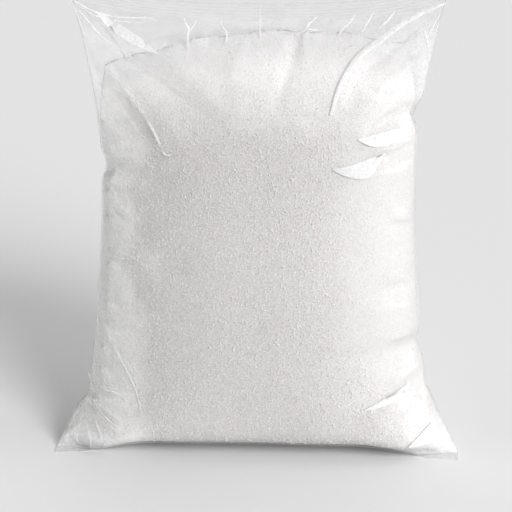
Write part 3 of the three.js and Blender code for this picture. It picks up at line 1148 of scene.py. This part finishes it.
def makeGrains(front, back):
    rng = np.random.default_rng(grainLook["seed"])
    spots = []
    for sheet, isFront, name in ((front, True, "onFront"), (back, False, "onBack")):
        count = grainLook[name]
        points, normals = sheetPoints(sheet, isFront, count, rng)
        isClear = rng.random(count) > hiddenShare(points[:, 0], points[:, 2])
        points, normals = points[isClear], normals[isClear]
        out = rng.uniform(*grainLook["out"], (len(points), 1))
        out = mix(grainLook["outLow"], out, smooth(points[:, 2:] / grainLook["lowReach"]))
        spots.append(points + normals * out)
    spots.append(fringePoints(grainLook["fringe"], rng))
    size = [rng.uniform(*grainLook["size"], len(one)) for one in spots[:2]]
    size.append(rng.uniform(*grainLook["fringeSize"], len(spots[2])))
    spots, size = np.concatenate(spots), np.concatenate(size)
    size = size[:, None, None] * rng.uniform(0.75, 1.0, (len(spots), 1, 3))
    isHigh = spots[:, 2] > grainLook["lowest"]
    spots, size = spots[isHigh], size[isHigh]
    ends = (-0.5, 0.5)
    corners = np.array([(x, y, z) for x in ends for y in ends for z in ends])
    sides = np.array([
        (0, 1, 3, 2), (4, 6, 7, 5), (0, 4, 5, 1), (2, 3, 7, 6), (0, 2, 6, 4), (1, 5, 7, 3),
    ])
    shape = np.einsum("nij,nkj->nki", randomTurns(len(spots), rng), corners * size)
    vertices = (shape + spots[:, None]).reshape(-1, 3)
    faces = (sides[None] + 8 * np.arange(len(spots))[:, None, None]).reshape(-1, 4)
    return addMesh("grains", vertices, faces.tolist())


def addPiece(piece, material):
    piece.data.materials.append(material)
    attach(piece, "root")
    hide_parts("salt_bag")
    print(piece.name, len(piece.data.polygons), "faces")


filmFront, filmBack = filmSheet(True), filmSheet(False)
addPiece(tubeMesh("film", filmFront, filmBack), makeFilmMaterial("clearFilm"))
addPiece(makePleats(), makeFilmMaterial("foldedFilmAndPaintedHighlight"))
addPiece(makeWelds(), makeFilmMaterial("weldedFilm"))
saltFront, saltBack = saltSheet(True), saltSheet(False)
addPiece(tubeMesh("salt", saltFront, saltBack), makeSaltMaterial())
looseGrain = plainMaterial("looseGrain", grainLook["colour"], grainLook["gloss"])
addPiece(makeGrains(saltFront, saltBack), looseGrain)


# Floor and light: the sky fades out from the horizon up to a height on the unit sphere
studio = {
    "floorColour": (0.795, 0.795, 0.795),
    "floorSize": 12000.0,
    "floorShine": 0.05,
    "horizon": 0.43,
    "horizonTop": 0.4,
    "sunTurn": 36.0,
    "sunRise": 25.0,
    "sunSize": 27.0,
    "sunPower": 2.85,
    # soft lamps in the sky: turn to the right, rise, where they start and end to fade, brightness
    "lamps": [
        (46, 36, 8, 34, 0.9),
        (80, 24, 5, 30, 2.3),
        (100, 46, 5, 32, 0.9),
        (165, 70, 5, 32, 1.3),
        (180, 55, 5, 32, 1.0),
        (180, 12, 8, 42, 0.6),
        (-76, 4, 8, 40, 1.7),
    ],
}
# Camera, in metres, around the middle of the bag
view = {
    "turn": 2.7,
    "rise": 18.0,
    "distance": 0.9,
    "target": (-0.0009, -0.001, 0.081),
    "lens": 151.2,
}


# Unit vector from a turn to the right of the front and a rise, in degrees
def direction(turn, rise):
    a, e = math.radians(turn), math.radians(rise)
    return Vector((math.sin(a) * math.cos(e), -math.cos(a) * math.cos(e), math.sin(e)))


def makeFloor():
    half = studio["floorSize"] / 2
    corners = [(-half, -half, 0), (half, -half, 0), (half, half, 0), (-half, half, 0)]
    floor = addMesh("floor", corners, [(0, 1, 2, 3)])
    shine = {"Specular IOR Level": studio["floorShine"]}
    floor.data.materials.append(plainMaterial("paleFloor", studio["floorColour"], 1.0, **shine))
    return floor


def makeSky():
    world = bpy.data.worlds.new("studioSky")
    scene.world = world
    world.use_nodes = True
    tree = world.node_tree
    tree.nodes.clear()
    output = tree.nodes.new("ShaderNodeOutputWorld")
    where = addNode(tree, "ShaderNodeTexCoord").outputs["Generated"]
    height = addNode(tree, "ShaderNodeSeparateXYZ", {0: where}).outputs["Z"]
    total = addNode(tree, "ShaderNodeMapRange", {
        "Value": height, "From Max": studio["horizonTop"],
        "To Min": studio["horizon"], "To Max": 0.0,
    }).outputs[0]
    for turn, rise, inner, outer, strength in studio["lamps"]:
        towards = addNode(tree, "ShaderNodeVectorMath", {
            0: where, 1: direction(turn, rise),
        }, operation="DOT_PRODUCT")
        lamp = addNode(tree, "ShaderNodeMapRange", {
            "Value": towards.outputs["Value"],
            "From Min": math.cos(math.radians(outer)),
            "From Max": math.cos(math.radians(inner)),
            "To Max": strength,
        }, interpolation_type="SMOOTHSTEP")
        total = plus(tree, total, lamp.outputs[0])
    background = addNode(tree, "ShaderNodeBackground", {"Strength": total})
    tree.links.new(background.outputs[0], output.inputs["Surface"])


# Firm part of the light, which casts the shadow but isn't mirrored in the film
def makeSun():
    lamp = bpy.data.lights.new("sun", "SUN")
    lamp.energy = studio["sunPower"]
    lamp.angle = math.radians(studio["sunSize"])
    light = bpy.data.objects.new("sun", lamp)
    away = direction(studio["sunTurn"], studio["sunRise"])
    light.rotation_euler = away.to_track_quat("Z", "Y").to_euler()
    light.visible_glossy = False
    scene.collection.objects.link(light)


def makeCamera():
    lens = bpy.data.cameras.new("camera")
    lens.lens = view["lens"]
    lens.sensor_width = 36.0
    lens.clip_start = 0.01
    camera = bpy.data.objects.new("camera", lens)
    scene.collection.objects.link(camera)
    away = direction(view["turn"], view["rise"])
    camera.location = Vector(view["target"]) + away * view["distance"]
    camera.rotation_euler = (-away).to_track_quat("-Z", "Y").to_euler()
    scene.camera = camera


makeFloor()
makeSky()
makeSun()
makeCamera()
scene.view_settings.view_transform = "Standard"
print("stage ready")
